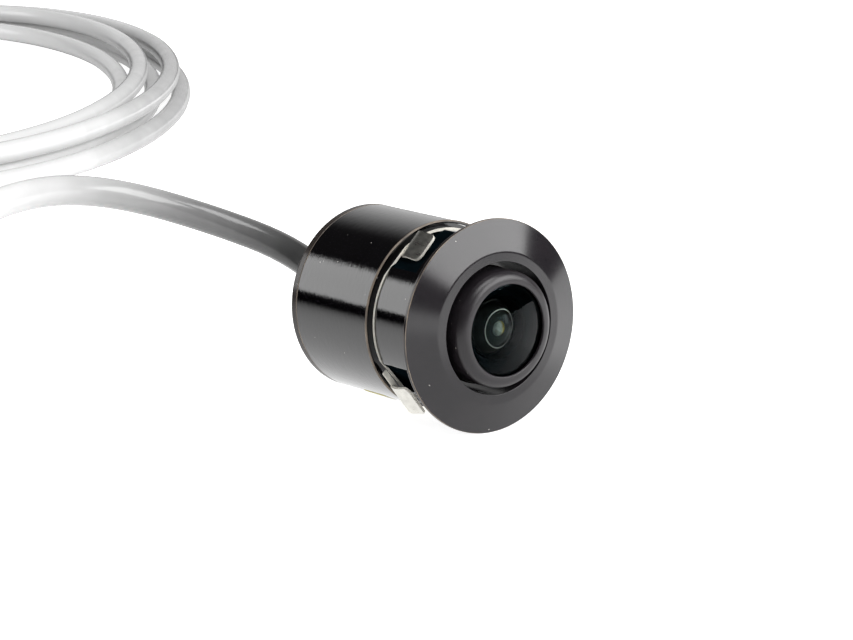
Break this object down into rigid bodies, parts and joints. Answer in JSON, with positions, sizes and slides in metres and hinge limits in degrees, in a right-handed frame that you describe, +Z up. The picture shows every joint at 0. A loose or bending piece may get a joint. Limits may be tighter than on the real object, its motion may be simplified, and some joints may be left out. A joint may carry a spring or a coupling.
{
  "type": "flush-mount reversing camera",
  "caption": "Small flush-mount reversing camera: round flanged bezel with a wide-angle lens, spring clip, sealed cylindrical housing and a coiled lead with a plug.",
  "frame": {"origin": "centre of the flange's back face on the optical axis, where the outer face of the drilled panel lies", "axes": "+Y along the optical axis from the lens back to the lead, +Z up, +X to the right as seen from the front"},
  "size_m": [0.219, 0.3147, 0.0221],
  "materials": {
    "bezel_black": "satin black anodised, turned",
    "housing_black": "gloss black lacquer over turned aluminium",
    "cap_black": "gloss black moulded",
    "barrel_black": "fine turned, black anodised",
    "clip_steel": "rolled spring steel, sheared edges",
    "front_glass": "coated, polished",
    "lens_glass": "polished",
    "filter_glass": "coated blue glass",
    "spacer_black": "matt black",
    "holder_black": "moulded glass-filled nylon",
    "seal_rubber": "moulded",
    "compound": "potted, matt",
    "board_green": "solder mask on glass laminate",
    "chip_black": "moulded epoxy",
    "sensor_grey": "ceramic",
    "contact_gold": "gold plated",
    "tin_steel": "tin plated",
    "screw_steel": "zinc plated",
    "jacket_black": "extruded soft PVC",
    "sticker_yellow": "paper label stock, blank",
    "wire_red": "extruded insulation"
  },
  "bodies": {
    "root": {"front_bezel": "bezel_black", "lens_barrel": "barrel_black", "front_lens": "front_glass", "lens_element_two": "lens_glass", "lens_spacer_front": "spacer_black", "aperture_stop": "spacer_black", "lens_element_three": "lens_glass", "lens_spacer_rear": "spacer_black", "lens_element_four": "lens_glass", "lens_retainer": "spacer_black", "front_seal": "seal_rubber", "body_gasket": "seal_rubber", "clip_ring": "clip_steel", "lens_holder": "holder_black", "ir_filter": "filter_glass", "sensor_cover_glass": "lens_glass", "image_sensor": "sensor_grey", "sensor_board": "board_green", "holder_screws": "screw_steel", "board_spacer": "spacer_black", "board_pins": "contact_gold", "main_board": "board_green", "image_processor": "chip_black", "crystal": "tin_steel", "capacitors": "tin_steel", "rear_spacer": "spacer_black", "rear_body": "housing_black", "rear_cap": "cap_black", "inspection_sticker": "sticker_yellow", "cable_grommet": "seal_rubber", "sealing_compound": "compound", "conductor_wires": "wire_red", "camera_lead": "jacket_black", "lead_coil": "jacket_black", "lead_tail": "jacket_black", "plug_strain_relief": "jacket_black", "plug_body": "jacket_black", "plug_insert": "spacer_black", "plug_pins": "contact_gold", "plug_seal": "seal_rubber"},
    "clip_tab_upper": {"clip_tab_upper": "clip_steel"},
    "clip_tab_lower": {"clip_tab_lower": "clip_steel"},
    "clip_tab_side": {"clip_tab_side": "clip_steel"}
  },
  "joints": [
    {"name": "clip_tab_upper_flex", "type": "hinge", "parent": "root", "child": "clip_tab_upper", "pos_m": [-0.00306, 0.00689, 0.00697], "axis": [-0.9157, 0, -0.4019], "range_deg": [-2, 35], "stiffness_Nm_per_rad": 0.02},
    {"name": "clip_tab_lower_flex", "type": "hinge", "parent": "root", "child": "clip_tab_lower", "pos_m": [-0.00451, 0.00689, -0.00613], "axis": [0.8059, 0, -0.592], "range_deg": [-25, 12], "stiffness_Nm_per_rad": 0.02},
    {"name": "clip_tab_side_flex", "type": "hinge", "parent": "root", "child": "clip_tab_side", "pos_m": [0.00756, 0.00689, -0.00084], "axis": [0.1097, 0, 0.994], "range_deg": [-25, 12], "stiffness_Nm_per_rad": 0.02}
  ]
}
